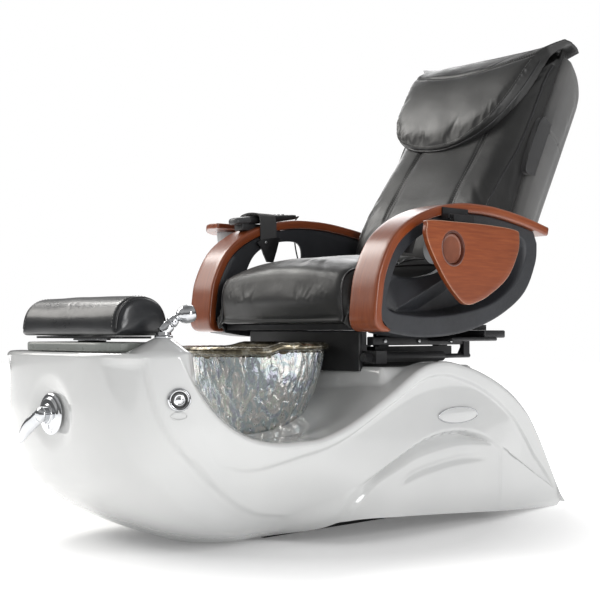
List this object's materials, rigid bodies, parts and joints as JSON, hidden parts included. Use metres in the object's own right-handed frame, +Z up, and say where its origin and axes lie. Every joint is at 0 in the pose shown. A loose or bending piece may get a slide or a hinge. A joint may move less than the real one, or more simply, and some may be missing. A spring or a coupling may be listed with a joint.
{
  "type": "pedicure spa chair",
  "caption": "Pedicure spa chair: boat-shaped white base with a foot bowl, footrest and sprayer, a sliding reclining massage seat, wooden arms and folding trays",
  "frame": {"origin": "on the floor, under the middle of the base's width, below the front edge of the seat mechanism", "axes": "+Z up, -Y towards the footrest end, +X to the sitter's left; the base, seat and back are symmetric about X = 0"},
  "size_m": [1.0068, 1.7462, 1.3557],
  "materials": {
    "acrylic_white": "gloss white acrylic",
    "deck_grey": "pale grey, satin",
    "bowl_glass": "hammered pearl glass with a gilt rim",
    "chrome": "polished",
    "brushed_steel": "brushed",
    "leather_black": "soft black leather, satin",
    "plastic_charcoal": "fine textured charcoal",
    "plastic_black": "satin black",
    "rubber_black": "matt black",
    "wood_cherry": "reddish brown, lacquered",
    "cup_grey": "satin grey",
    "steel_black": "black powder coat"
  },
  "bodies": {
    "base": {"base_shell": "acrylic_white", "base_plate": "steel_black", "glass_bowl": "bowl_glass", "drain_body": "chrome", "jet_motor": "plastic_black", "jet_cover": "chrome", "faucet_escutcheon": "chrome", "faucet_valve": "brushed_steel", "supply_pipe": "brushed_steel", "sprayer_holder": "chrome", "button_bezel": "chrome", "badge_plate": "chrome", "power_inlet": "plastic_black", "footrest_deck": "deck_grey", "footrest_sleeve": "plastic_black", "slide_mount_plate": "steel_black", "lower_rail_left": "steel_black", "lower_rail_right": "steel_black", "slide_actuator": "plastic_black", "front_cover": "plastic_black"},
    "lever": {"faucet_lever": "chrome"},
    "sprayer": {"sprayer_handle": "chrome", "sprayer_head": "chrome"},
    "button": {"jet_button": "chrome"},
    "stopper": {"drain_stopper": "chrome"},
    "impeller": {"jet_impeller": "plastic_black"},
    "footrest": {"footrest_post": "chrome", "footrest_plate": "steel_black", "footrest_cushion": "leather_black"},
    "seat": {"upper_rail_left": "brushed_steel", "upper_rail_right": "brushed_steel", "actuator_rod": "chrome", "seat_pan": "steel_black", "seat_cushion": "leather_black", "arm_band_left": "wood_cherry", "arm_band_right": "wood_cherry", "arm_shell_left": "plastic_charcoal", "arm_shell_right": "plastic_charcoal", "tray_bracket_left": "steel_black", "tray_bracket_right": "steel_black", "remote_strap": "rubber_black", "remote_handset": "plastic_black", "remote_cord": "rubber_black", "cord_grommet": "rubber_black", "recline_motor": "brushed_steel"},
    "tray_left": {"tray_leaf_left": "steel_black", "tray_panel_left": "wood_cherry", "tray_cup_left": "cup_grey"},
    "tray_right": {"tray_leaf_right": "steel_black", "tray_panel_right": "wood_cherry", "tray_cup_right": "cup_grey"},
    "back": {"back_frame": "steel_black", "back_shell": "leather_black", "back_cushion": "leather_black", "head_pillow": "leather_black", "massage_screw": "brushed_steel"},
    "carriage": {"massage_carriage": "plastic_black"},
    "rollers": {"massage_rollers": "rubber_black"}
  },
  "joints": [
    {"name": "seat_slide", "type": "slide", "parent": "base", "child": "seat", "axis": [0, 1, 0], "range_m": [-0.08, 0.1]},
    {"name": "back_recline", "type": "hinge", "parent": "seat", "child": "back", "pos_m": [0, 0.47, 0.6], "axis": [1, 0, 0], "range_deg": [-25, 12]},
    {"name": "tray_left_fold", "type": "hinge", "parent": "seat", "child": "tray_left", "pos_m": [0.378, 0.2, 0.79], "axis": [0, -1, 0], "range_deg": [0, 90]},
    {"name": "tray_right_fold", "type": "hinge", "parent": "seat", "child": "tray_right", "pos_m": [-0.378, 0.2, 0.79], "axis": [0, -1, 0], "range_deg": [0, 90]},
    {"name": "footrest_lift", "type": "slide", "parent": "base", "child": "footrest", "axis": [0, 0, 1], "range_m": [0, 0.06]},
    {"name": "sprayer_pull", "type": "slide", "parent": "base", "child": "sprayer", "axis": [0.2497, 0.6593, 0.7092], "range_m": [0, 0.2]},
    {"name": "faucet_turn", "type": "hinge", "parent": "base", "child": "lever", "pos_m": [0, -0.7525, 0.319], "axis": [0, -1, 0], "range_deg": [-30, 90]},
    {"name": "jet_button_press", "type": "slide", "parent": "base", "child": "button", "axis": [-0.8806, 0.4738, 0], "range_m": [0, 0.003], "stiffness_N_per_m": 300},
    {"name": "drain_stopper_lift", "type": "slide", "parent": "base", "child": "stopper", "axis": [0, 0, 1], "range_m": [0, 0.012]},
    {"name": "impeller_spin", "type": "hinge", "parent": "base", "child": "impeller", "pos_m": [0, -0.208, 0.2465], "axis": [0, 0, 1], "continuous": true},
    {"name": "massage_travel", "type": "slide", "parent": "back", "child": "carriage", "axis": [0, 0.454, 0.891], "range_m": [-0.25, 0.25]},
    {"name": "roller_spin", "type": "hinge", "parent": "carriage", "child": "rollers", "pos_m": [0, 0.70077, 0.95379], "axis": [1, 0, 0], "continuous": true}
  ]
}
